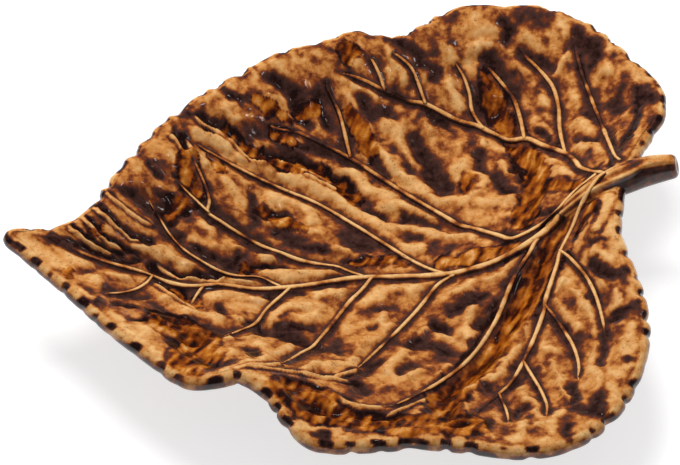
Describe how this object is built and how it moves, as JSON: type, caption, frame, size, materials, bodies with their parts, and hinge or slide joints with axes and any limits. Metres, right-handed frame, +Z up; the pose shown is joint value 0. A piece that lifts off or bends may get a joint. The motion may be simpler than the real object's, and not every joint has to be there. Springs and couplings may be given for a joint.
{
  "type": "leaf shaped plate",
  "caption": "Shallow heart-shaped leaf dish in glossy brown glazed earthenware, with a crimped rim, raised veins, a curled stem handle and a low foot ring.",
  "frame": {"origin": "middle of the dish's overall length and width, on the plane it stands on", "axes": "+X along the midrib from the leaf's tip to its stem, +Y across the lobes to the side away from the picture's camera, +Z up"},
  "size_m": [0.226, 0.2062, 0.0386],
  "materials": {
    "leaf_glaze": "glossy translucent brown glaze, dark where it pools beside the veins and caramel on the raised clay",
    "stem_glaze": "glossy translucent brown glaze over a hand-rolled stem",
    "bare_foot": "unglazed fired clay, matt, wiped clean where it stands"
  },
  "bodies": {
    "root": {"leaf_blade": "leaf_glaze", "stem_handle": "stem_glaze", "foot_ring": "bare_foot"}
  },
  "joints": []
}
